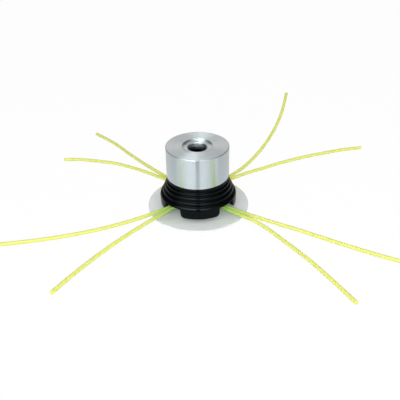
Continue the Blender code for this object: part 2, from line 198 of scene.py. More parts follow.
class HousingSettings(bpy.types.PropertyGroup):
    """Sizes and finish of the moulded housing"""
    skirt_radius: length("Skirt Radius", "Outside of the skirt", 32.3)
    skirt_wall: length("Skirt Wall", "Wall of the legs", 3.6)
    skirt_draft: length("Skirt Draft", "How much the skirt tapers to its rim", 0.15)
    rim_round: length("Rim Round", "Rounding of the legs' rim", 0.8)
    roof_round: length("Roof Round", "Fillet between roof and skirt", 1.2)
    roof_hole: length("Roof Hole", "Radius of the hole in the roof", 7.2)
    socket_radius: length("Socket Radius", "Socket for the hub's boss", 22.5)
    socket_depth: length("Post Socket Depth", "Depth of the sockets for the posts", 1.0)
    collar: length("Collar", "Wall round the socket at the top", 2.0)
    shoulder_height: length("Shoulder Height", "Height of the lowest bead", 3.1)
    bead_bulge: length("Bead Bulge", "How far each bead stands out of its chord", 0.85)
    shoulder_bulge: length("Shoulder Bulge", "The same for the lowest bead", 0.5)
    groove_width: length("Groove Width", "Width of the grooves between the beads", 1.1)
    groove_depth: length("Groove Depth", "Depth of the grooves between the beads", 0.5)
    notch_width: length("Notch Width", "Width of a line notch", 17.0)
    notch_corner: length("Notch Corner", "Rounding of the notch's ceiling", 1.2)
    leg_corner: length("Leg Corner", "Rounding of the legs' lower corners", 4.0)
    leg_drop: length("Leg Drop", "How far the legs reach below the solid's rim", 0.5)
    plastic: colour("Nylon", "Colour of the black nylon", "#030506")
    roughness: share("Roughness", "Roughness of the moulded face", 0.14)
    turned_steps: steps("Steps", "Facets round the housing", 192)


class DiscSettings(bpy.types.PropertyGroup):
    """Sizes and finish of the glide disc"""
    radius: length("Radius", "Outside of the disc", 42.9)
    hole_radius: length("Hole Radius", "Hole for the shaft's end", 10.0)
    edge: length("Edge", "Broken edge of the disc", 0.25)
    hole_edge: length("Hole Edge", "Broken edge of the hole", 0.15)
    metal: colour("Steel", "Colour of the brushed face", "#d7dbda")
    roughness: share("Roughness", "Roughness of the brushed face", 0.6)
    turned_steps: steps("Steps", "Facets round the disc", 192)


class FastenerSettings(bpy.types.PropertyGroup):
    """Sizes and finish of the line posts and the screws"""
    circle_radius: length("Circle", "Radius of the circle that posts and screws stand on", 16.0)
    post_radius: length("Post Radius", "Outside of a post", 6.0)
    waist_radius: length("Waist Radius", "Waist that the fold of a strand lies round", 4.5)
    screw_radius: length("Screw Radius", "Shank of a screw", 2.0)
    head_radius: length("Head Radius", "Countersunk head of a screw", 4.0)
    key_flats: length("Key Flats", "Across the flats of the hexagon socket", 2.5)
    key_depth: length("Key Depth", "Depth of the hexagon socket", 1.2)
    pitch: length("Pitch", "Rise of a screw's thread in one turn", 0.7)
    thread_depth: length("Thread Depth", "Depth of a screw's thread", 0.3)
    plain_shank: length("Plain Shank", "Shank without a thread above a screw's head", 6.0)
    foot_round: length("Foot Round", "Rounding of a post's foot", 0.4)
    edge: length("Edge", "Broken edges of a post", 0.2)
    waist_round: length("Waist Round", "Rounding beside a post's waist", 0.8)
    mark: length("Tool Marks", "Size at which the tool marks on a post are drawn", 0.4)
    post_metal: colour("Post Steel", "Colour of the turned steel", "#bcbcba")
    screw_metal: colour("Screw Zinc", "Colour of the zinc plating", "#b4b8bd")


class LineSettings(bpy.types.PropertyGroup):
    """Size and colours of the nylon line"""
    diameter: length("Diameter", "Thickness of the line", 3.0)
    step: length("Step", "Distance between the points of a free end", 2.5)
    far: colour("Far Colour", "Colour of the free ends", "#d3d772")
    near: colour("Near Colour", "Colour in the shade of the housing", "#78ae4a")
    shade_centre: length("Shade Centre", "How far the middle of the shade lies in front of the axis", 15.0)
    near_radius: length("Near Radius", "Distance from the middle of the shade where the near colour ends", 20.0)
    far_radius: length("Far Radius", "Distance from the middle of the shade where the far colour begins", 50.0)


class StageSettings(bpy.types.PropertyGroup):
    """Camera, lights and table"""
    azimuth: degrees("Azimuth", "Turn of the camera about the axis", -2.6)
    elevation: degrees("Elevation", "Camera above the horizon", 32.466)
    roll: degrees("Roll", "Roll of the camera", -1.026)
    lens: quantity("Lens", "Focal length on a 36 mm sensor, in millimetres", 49.361)
    position: FloatVectorProperty(name="Position", description="Place of the camera", size=3,
                                  default=(-0.016694, -0.398283, 0.257154), subtype="TRANSLATION", unit="LENGTH")
    key_power: quantity("Softbox", "Power of the softbox above the camera, in watts", 1.2)
    fill_power: quantity("Fill", "Power of the lamp at the camera, in watts", 5.4)
    softbox_level: quantity("Softbox Level", "Brightness of the softbox in reflections", 10.8)
    top_level: quantity("Top Card Level", "Brightness of the card overhead in reflections", 1.6)
    card_level: quantity("Back Card Level", "Brightness of the pale card behind the head in reflections", 0.96)
    room_light: quantity("Room Light", "Level of the even light from all round", 0.57)
    table_white: share("Table White", "Share of plain white in what the camera sees of the table", 0.95)


SETTINGS = {
    "trimmer_hub": HubSettings,
    "trimmer_insert": InsertSettings,
    "trimmer_housing": HousingSettings,
    "trimmer_disc": DiscSettings,
    "trimmer_fasteners": FastenerSettings,
    "trimmer_line": LineSettings,
    "trimmer_stage": StageSettings,
}


def add(tree, kind, links=None, values=None, **settings):
    """Adds a node with its settings, the values of its sockets and the links into it."""
    made = tree.nodes.new(kind)
    for name, setting in settings.items():
        setattr(made, name, setting)
    for socket, value in (values or {}).items():
        made.inputs[socket].default_value = value
    for socket, source in (links or {}).items():
        tree.links.new(source, made.inputs[socket])
    return made


def new_material(name):
    """An empty material, its tree, and its output node."""
    made = bpy.data.materials.new(name)
    made.use_nodes = True
    tree = made.node_tree
    tree.nodes.clear()
    return made, tree, add(tree, "ShaderNodeOutputMaterial")


def axis_distance(tree, centre=(0, 0, 0)):
    """Distance from an upright line through a point."""
    place = add(tree, "ShaderNodeTexCoord").outputs["Object"]
    moved = add(tree, "ShaderNodeVectorMath", {0: place}, {1: centre}, operation="SUBTRACT").outputs[0]
    flat = add(tree, "ShaderNodeVectorMath", {0: moved}, {1: (1, 1, 0)}, operation="MULTIPLY").outputs[0]
    return add(tree, "ShaderNodeVectorMath", {0: flat}, operation="LENGTH").outputs["Value"]


def rings(tree, scale):
    """Fine noise that depends only on the distance from the axis and on the height, as tool marks do."""
    place = add(tree, "ShaderNodeTexCoord").outputs["Object"]
    height = add(tree, "ShaderNodeSeparateXYZ", {0: place}).outputs["Z"]
    where = add(tree, "ShaderNodeCombineXYZ", {"X": axis_distance(tree), "Y": height}).outputs[0]
    return add(tree, "ShaderNodeTexNoise", {"Vector": where},
               {"Scale": scale, "Detail": 3.0, "Roughness": 0.6}).outputs["Fac"]


def uneven(tree, noise, tint, darkest, lightest, roughness, spread):
    """Colour and roughness of a surface, which vary together with a noise: the colour between two shares of its tint,
    the roughness by a spread to both sides."""
    middle = add(tree, "ShaderNodeMapRange", {"Value": noise}, NOISE_RANGE).outputs[0]
    dark, light = ((*(min(1, c * part) for c in tint), 1) for part in (darkest, lightest))
    surface = add(tree, "ShaderNodeMix", {"Factor": middle}, {"A": dark, "B": light},
                  data_type="RGBA").outputs["Result"]
    rough = add(tree, "ShaderNodeMapRange", {"Value": middle},
                {"To Min": roughness - spread, "To Max": roughness + spread}).outputs[0]
    return surface, rough


def turned_metal(name, metal, roughness, grain, mark, depth):
    """Metal turned on a lathe: bright, with rings of fine tool marks, which stretch each reflection across them."""
    made, tree, out = new_material(name)
    # tool marks are about 0.1 mm apart; they are drawn coarser, at the given size, to show at all
    marks = rings(tree, 1 / mark)
    surface, rough = uneven(tree, marks, metal, 0.93, 1.05, roughness, 0.04)
    bump = add(tree, "ShaderNodeBump", {"Height": marks}, {"Strength": depth, "Distance": 0.02 * MM})
    around = add(tree, "ShaderNodeTangent", direction_type="RADIAL", axis="Z")
    shader = add(tree, "ShaderNodeBsdfPrincipled",
                 {"Base Color": surface, "Roughness": rough, "Normal": bump.outputs[0], "Tangent": around.outputs[0]},
                 {"Metallic": 1.0, "Anisotropic": grain, "Anisotropic Rotation": 0.25})
    tree.links.new(shader.outputs[0], out.inputs["Surface"])
    return made


def brushed_sheet(metal, roughness):
    """Steel sheet brushed fine and left dull: matt, evenly pale, with faint marks of the brush along X."""
    made, tree, out = new_material("dull_brushed_steel")
    place = add(tree, "ShaderNodeTexCoord").outputs["Object"]
    # brush marks are about 0.1 mm wide; drawn 1 mm wide and 20 mm long to show at all
    along = add(tree, "ShaderNodeMapping", {"Vector": place}, {"Scale": (50, 1000, 1000)}).outputs[0]
    marks = add(tree, "ShaderNodeTexNoise", {"Vector": along},
                {"Scale": 1.0, "Detail": 3.0, "Roughness": 0.65}).outputs["Fac"]
    # pits of 0.2 mm between the marks, drawn at 0.5 mm
    pits = add(tree, "ShaderNodeTexNoise", {"Vector": place}, {"Scale": 2000.0, "Detail": 2.0}).outputs["Fac"]
    surface, rough = uneven(tree, marks, metal, 0.96, 1.04, roughness, 0.04)
    bump = add(tree, "ShaderNodeBump", {"Height": pits}, {"Strength": 0.2, "Distance": 0.02 * MM})
    shader = add(tree, "ShaderNodeBsdfPrincipled",
                 {"Base Color": surface, "Roughness": rough, "Normal": bump.outputs[0]}, {"Metallic": 0.1})
    tree.links.new(shader.outputs[0], out.inputs["Surface"])
    return made


def moulded_nylon(plastic, roughness):
    """Black glass-filled nylon, injection moulded: a soft gloss, slightly uneven, with the faint orange peel of the
    mould."""
    made, tree, out = new_material("black_glass_filled_nylon")
    place = add(tree, "ShaderNodeTexCoord").outputs["Object"]
    # mould texture of 0.3 mm, drawn at 0.6 mm to show at all, and clouds of 8 mm in colour and gloss
    peel = add(tree, "ShaderNodeTexNoise", {"Vector": place}, {"Scale": 1600.0, "Detail": 2.0}).outputs["Fac"]
    cloud = add(tree, "ShaderNodeTexNoise", {"Vector": place}, {"Scale": 120.0, "Detail": 4.0}).outputs["Fac"]
    surface, rough = uneven(tree, cloud, plastic, 1.0, 1.5, roughness, 0.05)
    edges = add(tree, "ShaderNodeBevel", values={"Radius": 0.3 * MM}, samples=4).outputs[0]
    bump = add(tree, "ShaderNodeBump", {"Height": peel, "Normal": edges}, {"Strength": 0.12, "Distance": 0.03 * MM})
    shader = add(tree, "ShaderNodeBsdfPrincipled",
                 {"Base Color": surface, "Roughness": rough, "Normal": bump.outputs[0]},
                 {"IOR": 1.53, "Specular IOR Level": 0.085, "Specular Tint": (0.8, 0.95, 1.0, 1.0)})
    tree.links.new(shader.outputs[0], out.inputs["Surface"])
    return made


def plated_steel(name, metal, roughness):
    """Steel plated or blackened in a bath: even and slightly cloudy."""
    made, tree, out = new_material(name)
    place = add(tree, "ShaderNodeTexCoord").outputs["Object"]
    # the bath's clouds, about 1.4 mm across
    cloud = add(tree, "ShaderNodeTexNoise", {"Vector": place}, {"Scale": 700.0, "Detail": 3.0}).outputs["Fac"]
    surface, rough = uneven(tree, cloud, metal, 0.85, 1.0, roughness, 0.05)
    shader = add(tree, "ShaderNodeBsdfPrincipled", {"Base Color": surface, "Roughness": rough}, {"Metallic": 1.0})
    tree.links.new(shader.outputs[0], out.inputs["Surface"])
    return made


def drawn_nylon(line):
    """Nylon line drawn through a die: bright yellow-green, a little cloudy and seen into, greener where the housing
    shades it."""
    made, tree, out = new_material("yellow_green_nylon_line")
    place = add(tree, "ShaderNodeTexCoord").outputs["Object"]
    shaded = axis_distance(tree, (0, -line.shade_centre, 0))
    fade = add(tree, "ShaderNodeMapRange", {"Value": shaded},
               {"From Min": line.near_radius, "From Max": line.far_radius}).outputs[0]
    body = add(tree, "ShaderNodeMix", {"Factor": fade}, {"A": (*line.near, 1), "B": (*line.far, 1)},
               data_type="RGBA").outputs["Result"]
    # draw marks and dust, about 3 mm long
    cloud = add(tree, "ShaderNodeTexNoise", {"Vector": place}, {"Scale": 300.0, "Detail": 1.0}).outputs["Fac"]
    haze, rough = (add(tree, "ShaderNodeMapRange", {"Value": cloud},
                       {**NOISE_RANGE, "To Min": low, "To Max": high}).outputs[0]
                   for low, high in ((0.0, 0.08), (0.3, 0.42)))
    soft = add(tree, "ShaderNodeMix", {"Factor": haze, "A": body}, {"B": (0.8, 0.85, 0.55, 1)},
               data_type="RGBA").outputs["Result"]
    bump = add(tree, "ShaderNodeBump", {"Height": cloud}, {"Strength": 0.05, "Distance": 0.05 * MM})
    shader = add(tree, "ShaderNodeBsdfPrincipled",
                 {"Base Color": soft, "Roughness": rough, "Normal": bump.outputs[0]},
                 {"IOR": 1.53, "Specular IOR Level": 0.2, "Subsurface Weight": 0.8,
                  "Subsurface Radius": (1.0, 1.0, 0.5), "Subsurface Scale": 2.5 * MM})
    tree.links.new(shader.outputs[0], out.inputs["Surface"])
    return made


def seen(tree):
    """1 for rays that show the background: straight from the camera, mirrored or through glass."""
    path = add(tree, "ShaderNodeLightPath")
    rays = path.outputs["Is Camera Ray"]
    for kind in ("Is Glossy Ray", "Is Transmission Ray"):
        rays = add(tree, "ShaderNodeMath", {0: rays, 1: path.outputs[kind]}, operation="MAXIMUM").outputs[0]
    return rays


def white_table(white, hole):
    """White laminate table, mostly as bright as plain white, with a faint shadow of the head on it. Inside the glide
    disc's hole it shows no more light than falls on it."""
    made, tree, out = new_material("white_table")
    place = add(tree, "ShaderNodeTexCoord").outputs["Object"]
    cloud = add(tree, "ShaderNodeTexNoise", {"Vector": place}, {"Scale": 6.0}).outputs["Fac"]
    surface = add(tree, "ShaderNodeMix", {"Factor": cloud},
                  {"A": (*linear("#f4f4f4"), 1), "B": (*linear("#f8f8f8"), 1)}, data_type="RGBA").outputs["Result"]
    lit = add(tree, "ShaderNodeBsdfDiffuse", {"Color": surface})
    plain = add(tree, "ShaderNodeEmission", values={"Color": (1, 1, 1, 1), "Strength": 1.0})
    outside = add(tree, "ShaderNodeMapRange", {"Value": axis_distance(tree)},
                  {"From Min": hole + MM, "From Max": hole + 4 * MM, "To Max": white}).outputs[0]
    amount = add(tree, "ShaderNodeMath", {0: seen(tree), 1: outside}, operation="MULTIPLY").outputs[0]
    mixed = add(tree, "ShaderNodeMixShader", {0: amount, 1: lit.outputs[0], 2: plain.outputs[0]})
    tree.links.new(mixed.outputs[0], out.inputs["Surface"])
    return made


def card_face(name, glow, tint="#ffffff", along=None, half=1.0):
    """Face of a studio card. With a direction it fades to nothing towards both ends, which lie half its length from
    the middle."""
    made, tree, out = new_material(name)
    face = add(tree, "ShaderNodeEmission", values={"Color": (*linear(tint), 1), "Strength": glow})
    if along:
        place = add(tree, "ShaderNodeTexCoord").outputs["Object"]
        side = add(tree, "ShaderNodeVectorMath", {0: place}, {1: along}, operation="DOT_PRODUCT").outputs["Value"]
        off = add(tree, "ShaderNodeMath", {0: side}, operation="ABSOLUTE").outputs[0]
        fade = add(tree, "ShaderNodeMapRange", {"Value": off}, {"From Max": half, "To Min": glow, "To Max": 0.0},
                   interpolation_type="SMOOTHSTEP").outputs[0]
        tree.links.new(fade, face.inputs["Strength"])
    tree.links.new(face.outputs[0], out.inputs["Surface"])
    return made


def softened(corners, closed=True):
    """Section points in which each corner (r, z, round) is turned into a small curve of that size. A point on either
    side of the curve keeps the faces beside it flat when they are smoothed."""
    pieces = 4  # faces round each corner
    points = []
    count = len(corners)
    for i, corner in enumerate(corners):
        here = Vector(corner[:2])
        size = corner[2] if len(corner) > 2 else 0.0
        if not size or (not closed and i in (0, count - 1)):
            points.append(here)
            continue
        sides = [Vector(corners[k][:2]) - here for k in (i - 1, (i + 1) % count)]
        start, end = (here + side.normalized() * size for side in sides)
        held = [here + side.normalized() * size * 2 if side.length > size * 4 else None for side in sides]
        points += [held[0]] if held[0] else []
        for k in range(pieces + 1):
            t = k / pieces
            points.append(start.lerp(here, t).lerp(here.lerp(end, t), t))
        points += [held[1]] if held[1] else []
    return points


def arc(centre, radius, start, end, pieces):
    """Section points along an arc, both ends included; angles in degrees."""
    angles = [math.radians(start + (end - start) * i / pieces) for i in range(pieces + 1)]
    return [(centre[0] + radius * math.cos(a), centre[1] + radius * math.sin(a)) for a in angles]


def bead(low, high, bulge, pieces):
    """Section points from low to high on an arc that stands out of their chord by bulge, or sinks into it where bulge
    is negative; high is left out."""
    low, high = Vector(low), Vector(high)
    along = high - low
    out = Vector((along.y, -along.x)).normalized() * math.copysign(1, bulge)
    bulge = abs(bulge)
    radius = (along.length_squared / 4 + bulge * bulge) / (2 * bulge)
    centre = (low + high) / 2 - out * (radius - bulge)
    half = math.asin(along.length / 2 / radius)
    turns = [half * (2 * i / pieces - 1) for i in range(pieces)]
    return [centre + (out * math.cos(t) + along.normalized() * math.sin(t)) * radius for t in turns]


def plane(name, size):
    """A new square plane at the origin, and the only piece selected."""
    bpy.ops.object.select_all(action="DESELECT")
    bpy.ops.mesh.primitive_plane_add(size=size)
    piece = bpy.context.object
    piece.name = piece.data.name = name
    return piece


def draw(name, points, closed=True):
    """Draws a section in the XZ plane by extruding one vertex from point to point, and stays in edit mode."""
    piece = plane(name, MM)
    bpy.ops.object.mode_set(mode="EDIT")
    bpy.ops.mesh.merge(type="CENTER")
    here = Vector((0, 0, 0))
    for i, point in enumerate(points + points[:1] if closed else points):
        step = Vector((point[0], 0, point[1])) - here
        if i:
            bpy.ops.mesh.extrude_region_move(TRANSFORM_OT_translate={"value": step})
        else:
            bpy.ops.transform.translate(value=step)
        here += step
    bpy.ops.mesh.select_all(action="SELECT")
    bpy.ops.mesh.remove_doubles(threshold=1e-7)
    return piece


def turned_outwards():
    """Turns all faces outwards and leaves edit mode."""
    bpy.ops.mesh.select_all(action="SELECT")
    bpy.ops.mesh.normals_make_consistent(inside=False)
    bpy.ops.object.mode_set(mode="OBJECT")


def spun(name, points, facets, closed=True):
    """A drawn section spun once round Z."""
    piece = draw(name, points, closed)
    bpy.ops.mesh.select_all(action="SELECT")
    bpy.ops.mesh.spin(steps=facets, angle=math.tau, center=(0, 0, 0), axis=(0, 0, 1))
    bpy.ops.mesh.select_all(action="SELECT")
    bpy.ops.mesh.remove_doubles(threshold=1e-6)
    bpy.ops.mesh.dissolve_degenerate(threshold=1e-7)
    turned_outwards()
    return piece


def filled(name, outline, depth):
    """A drawn outline filled and extruded along +Y."""
    piece = draw(name, outline)
    bpy.ops.mesh.select_all(action="SELECT")
    bpy.ops.mesh.edge_face_add()
    bpy.ops.mesh.extrude_region_move(TRANSFORM_OT_translate={"value": (0, depth, 0)})
    turned_outwards()
    return piece


def pick(*pieces):
    """Selects nothing but these pieces. The first one is active."""
    bpy.ops.object.select_all(action="DESELECT")
    for piece in pieces:
        piece.select_set(True)
    bpy.context.view_layer.objects.active = pieces[0]


def placed(piece, where):
    """Moves a piece and applies its place, so that its object sits at the origin."""
    piece.matrix_world = where
    pick(piece)
    bpy.ops.object.transform_apply(location=True, rotation=True, scale=True)
    return piece


def station(azimuth, radius):
    """Turned to an azimuth and moved out along it."""
    return Matrix.Rotation(azimuth, 4, "Z") @ Matrix.Translation((radius, 0, 0))


def copied(piece, name, where):
    """A copy with its own mesh, at another place."""
    pick(piece)
    bpy.ops.object.duplicate()
    twin = bpy.context.object
    twin.name = twin.data.name = name
    return placed(twin, where)


def cut(piece, *cutters):
    """Takes the cutters out of a piece with Boolean modifiers, which are applied."""
    pick(piece)
    for cutter in cutters:
        bpy.ops.object.modifier_add(type="BOOLEAN")
        step = piece.modifiers[-1]
        step.operation, step.solver, step.object = "DIFFERENCE", "EXACT", cutter
        bpy.ops.object.modifier_apply(modifier=step.name)
        bpy.data.objects.remove(cutter)


def bored(piece, name, section, facets, radius):
    """Bores one hole at each station, all from the same half section."""
    drills = [spun(name, section, facets, closed=False) for _ in STATIONS]
    cut(piece, *(placed(drill, station(azimuth, radius)) for drill, azimuth in zip(drills, STATIONS)))


def finish(piece, material, slot, *nodes, angle=30):
    """Smooths a finished piece, gives it its material and sets it in place of its CAD nodes."""
    pick(piece)
    bpy.ops.object.shade_smooth_by_angle(angle=math.radians(angle))
    piece.data.materials.clear()
    piece.data.materials.append(material)
    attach(piece, BODY)
    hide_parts(*nodes)


class TRIMMER_OT_hub(bpy.types.Operator):
    """Turned hub with its dished recess, rounded bore and screw holes"""
    bl_idname = "trimmer.hub"
    bl_label = "Hub"

    def execute(self, context):
        hub = context.scene.trimmer_hub
        top, low, foot = HUB_HIGH.z, HUB_LOW.z, hub.foot
        seat = INSERT_LOW.z - SEAT
        # the dish falls from the recess's edge in a parabola that ends level at the bore's mouth
        parts = [i / 16 for i in range(17)]
        dish = [(hub.recess_radius + (hub.mouth_radius - hub.recess_radius) * t,
                 top - hub.recess_depth * (1 - (1 - t) ** 2)) for t in parts]
        section = softened([
            (hub.passage_radius, low),
            (hub.boss_radius, low, hub.boss_round),
            (hub.boss_radius, foot),
            (hub.radius, foot, hub.foot_round),
            (hub.radius, top - hub.chamfer_drop, hub.rim_round),
            (hub.radius - hub.chamfer, top, hub.rim_round),
            *((hub.recess_radius + lip * MM, top) for lip in (0.5, 0.15)),
        ], closed=False)
        section += dish
        floor = top - hub.recess_depth
        section += arc((hub.neck_radius + hub.mouth_round, floor - hub.mouth_round), hub.mouth_round, 90, 180, 6)
        section += [(hub.neck_radius, INSERT_HIGH.z), (hub.bore_radius, INSERT_HIGH.z), (hub.bore_radius, seat),
                    (hub.passage_radius, seat)]
        piece = spun("hub_turned", section, hub.turned_steps)
        fasteners = context.scene.trimmer_fasteners
        hole = fasteners.screw_radius + SEAT
        tip = SCREW_HIGH.z + 1.2 * MM  # end of the screw holes
        bored(piece, "drill", [(0, low - OVERCUT), (hole, low - OVERCUT), (hole, tip), (0, tip + OVERCUT)], 32,
              fasteners.circle_radius)
        metal = turned_metal("turned_aluminium", hub.metal, hub.roughness, hub.grain, hub.mark, 0.15)
        finish(piece, metal, "turned_aluminium", "hub", angle=28)
        return {"FINISHED"}


class TRIMMER_OT_insert(bpy.types.Operator):
    """Threaded steel bush with its left-hand thread"""
    bl_idname = "trimmer.insert"
    bl_label = "Threaded Bush"

    def execute(self, context):
        bush = context.scene.trimmer_insert
        low, top = INSERT_LOW.z, INSERT_HIGH.z + bush.proud
        lead = bush.chamfer + bush.major_radius
        piece = spun("bush_turned", softened([
            (lead, low), (bush.radius, low, bush.foot_round), (bush.radius, top, bush.top_round), (lead, top),
            (bush.major_radius, top - bush.chamfer), (bush.major_radius, low + bush.chamfer)]), 96)
        # the thread is one ridge with sloping flanks, wound up the bore from one lead-in to the other
        rise = top - low - 2 * bush.chamfer
        flank = 0.45 * bush.pitch
        crest = 0.12 * flank
        root, start = bush.major_radius + 0.05 * MM, low + bush.chamfer
        draw("thread", [(root, start - flank / 2), (bush.core_radius, start - crest),
                        (bush.core_radius, start + crest), (root, start + flank / 2)])
        bpy.ops.object.mode_set(mode="OBJECT")
        thread = bpy.context.object
        bpy.ops.object.modifier_add(type="SCREW")
        screw = thread.modifiers[-1]
        turns = rise / bush.pitch
        screw.angle, screw.screw_offset = -math.tau * turns, rise
        screw.steps = screw.render_steps = round(48 * turns)
        screw.merge_threshold = 1e-6
        bpy.ops.object.modifier_apply(modifier=screw.name)
        bpy.ops.object.mode_set(mode="EDIT")
        bpy.ops.mesh.select_mode(type="EDGE")
        bpy.ops.mesh.select_all(action="DESELECT")
        bpy.ops.mesh.select_non_manifold()
        bpy.ops.mesh.edge_face_add()
        bpy.ops.mesh.select_mode(type="VERT")
        turned_outwards()
        pick(piece, thread)
        bpy.ops.object.join()
        steel = plated_steel("blackened_steel", bush.metal, bush.roughness)
        finish(piece, steel, "blackened_steel", "thread_insert")
        return {"FINISHED"}


class TRIMMER_OT_housing(bpy.types.Operator):
    """Moulded housing with its beads, notches, roof and post sockets"""
    bl_idname = "trimmer.housing"
    bl_label = "Housing"

    def execute(self, context):
        shell = context.scene.trimmer_housing
        posts = context.scene.trimmer_fasteners
        inner = shell.skirt_radius - shell.skirt_wall
        rim, top = HOUSING_LOW.z - shell.leg_drop, HOUSING_HIGH.z
        low_radius = shell.skirt_radius - shell.skirt_draft
        grooves = [(shell.socket_radius + out * MM, top - down * MM) for out, down in GROOVES]
        shoulder = (shell.skirt_radius, grooves[0][1] - shell.shoulder_height)
        levels = [Vector(p) for p in (shoulder, *grooves, (shell.socket_radius + shell.collar, top))]
        section = arc((inner + shell.rim_round, rim + shell.rim_round), shell.rim_round, 180, 270, 6)
        section += arc((low_radius - shell.rim_round, rim + shell.rim_round), shell.rim_round, 270, 360, 8)
        # a bead from groove to groove, each with half a groove's width off its ends, and the groove above it
        for i, (low, high) in enumerate(zip(levels, levels[1:])):
            half = (high - low).normalized() * shell.groove_width / 2
            start = low + half if i else low
            end = high if high == levels[-1] else high - half
            section += bead(start, end, shell.bead_bulge if i else shell.shoulder_bulge, 12)
            if high != levels[-1]:
                after = high + (levels[i + 2] - high).normalized() * shell.groove_width / 2
                section += bead(end, after, -shell.groove_depth, 6)
        section += [levels[-1], (shell.socket_radius, top), (shell.socket_radius, ROOF_TOP),
                    (shell.roof_hole, ROOF_TOP), (shell.roof_hole, ROOF_Z)]
        section += arc((inner - shell.roof_round, ROOF_Z - shell.roof_round), shell.roof_round, 90, 0, 6)
        piece = spun("housing_moulded", section, shell.turned_steps)

        half = shell.notch_width / 2
        below = rim - 2 * OVERCUT
        right = [(half + shell.leg_corner, below)]
        right += arc((half + shell.leg_corner, rim + shell.leg_corner), shell.leg_corner, 270, 180, 12)
        right += arc((half - shell.notch_corner, ROOF_Z - shell.notch_corner), shell.notch_corner, 0, 90, 8)
        outline = right + [(-x, z) for x, z in reversed(right)]
        start = Matrix.Translation((0, posts.circle_radius + posts.post_radius, 0))
        for azimuth in STATIONS:
            notch = filled("notch", outline, shell.skirt_radius)
            cut(piece, placed(notch, Matrix.Rotation(azimuth - math.pi / 2, 4, "Z") @ start))
        wall, hole, floor = posts.post_radius + SEAT, posts.screw_radius + SEAT, ROOF_Z + shell.socket_depth
        bored(piece, "socket", [(0, ROOF_Z - OVERCUT), (wall, ROOF_Z - OVERCUT), (wall, floor), (hole, floor),
                                (hole, ROOF_TOP + OVERCUT), (0, ROOF_TOP + OVERCUT)], 48, posts.circle_radius)
        finish(piece, moulded_nylon(shell.plastic, shell.roughness), "black_nylon", "housing", angle=32)
        return {"FINISHED"}


class TRIMMER_OT_disc(bpy.types.Operator):
    """Flat glide disc with its shaft hole and countersinks"""
    bl_idname = "trimmer.disc"
    bl_label = "Glide Disc"

    def execute(self, context):
        plate = context.scene.trimmer_disc
        screws = context.scene.trimmer_fasteners
        low, top = DISC_LOW.z, DISC_HIGH.z
        piece = spun("disc_sheet", softened([
            (plate.hole_radius, low, plate.hole_edge), (plate.radius, low, plate.edge),
            (plate.radius, top, plate.edge), (plate.hole_radius, top, plate.hole_edge)]), plate.turned_steps)
        wide, sink = screws.head_radius + SEAT, SCREW_LOW.z
        narrow = wide - (top - sink)
        bored(piece, "countersink", [(0, low - OVERCUT), (wide, low - OVERCUT), (wide, sink), (narrow, top),
                                     (narrow, top + OVERCUT), (0, top + OVERCUT)], 48, screws.circle_radius)
        finish(piece, brushed_sheet(plate.metal, plate.roughness), "brushed_steel", "glide_disc", angle=28)
        return {"FINISHED"}


class TRIMMER_OT_posts(bpy.types.Operator):
    """Waisted line posts and the countersunk screws through them"""
    bl_idname = "trimmer.posts"
    bl_label = "Posts and Screws"

    def execute(self, context):
        sizes = context.scene.trimmer_fasteners
        line = context.scene.trimmer_line
        low, top = POST_LOW.z, POST_HIGH.z
        groove = line.diameter / 2 + SEAT
        bore = sizes.screw_radius + SEAT
        sink = sizes.head_radius + SEAT - (low - SCREW_LOW.z)
        post = spun("post", softened([
            (sink, low), (sizes.post_radius, low, sizes.foot_round),
            (sizes.post_radius, LINE_Z - groove, sizes.edge),
            (sizes.waist_radius, LINE_Z - groove, sizes.waist_round),
            (sizes.waist_radius, LINE_Z + groove, sizes.waist_round),
            (sizes.post_radius, LINE_Z + groove, sizes.edge), (sizes.post_radius, top, sizes.edge),
            (bore, top), (bore, low + sink - bore)]), 64)
        foot, tip = SCREW_LOW.z, SCREW_HIGH.z
        neck = foot + sizes.head_radius - sizes.screw_radius
        point = tip - sizes.screw_radius / 2
        root = sizes.screw_radius - sizes.thread_depth
        threads = []
        height, thread_end = neck + sizes.plain_shank, tip - 1.5 * MM
        while height < thread_end:
            threads += [(sizes.screw_radius, height), (root, height + sizes.pitch / 2)]
            height += sizes.pitch
        # the point 0.5 mm in from the head's edge keeps its face flat
        head = softened([(sizes.head_radius - 0.5 * MM, foot), (sizes.head_radius, foot, 0.1 * MM),
                         (sizes.screw_radius, neck)], closed=False)
        screw = spun("screw", [(0, foot), *head, *threads, (sizes.screw_radius, point),
                               (sizes.screw_radius / 2, tip), (0, tip)], 48, closed=False)
        corner = sizes.key_flats / math.sqrt(3)
        hexagon = [corner * Vector((math.cos(math.tau * i / 6), math.sin(math.tau * i / 6))) for i in range(6)]
        key = filled("key", hexagon, sizes.key_depth + OVERCUT)
        key = placed(key, Matrix.Translation((0, 0, foot - OVERCUT)) @ UPRIGHT)
        cut(screw, key)
        steel = turned_metal("bright_turned_steel", sizes.post_metal, 0.32, 0.5, sizes.mark, 0.3)
        zinc = plated_steel("zinc_plated_steel", sizes.screw_metal, 0.35)
        for number, azimuth in enumerate(STATIONS, 1):
            where = station(azimuth, sizes.circle_radius)
            twin = copied(post, f"post_turned_{number}", where)
            finish(twin, steel, "bright_steel", f"line_post_{number}")
            twin = copied(screw, f"screw_countersunk_{number}", where)
            finish(twin, zinc, "zinc_plated_steel", f"disc_screw_{number}")
        bpy.data.objects.remove(post)
        bpy.data.objects.remove(screw)
        return {"FINISHED"}


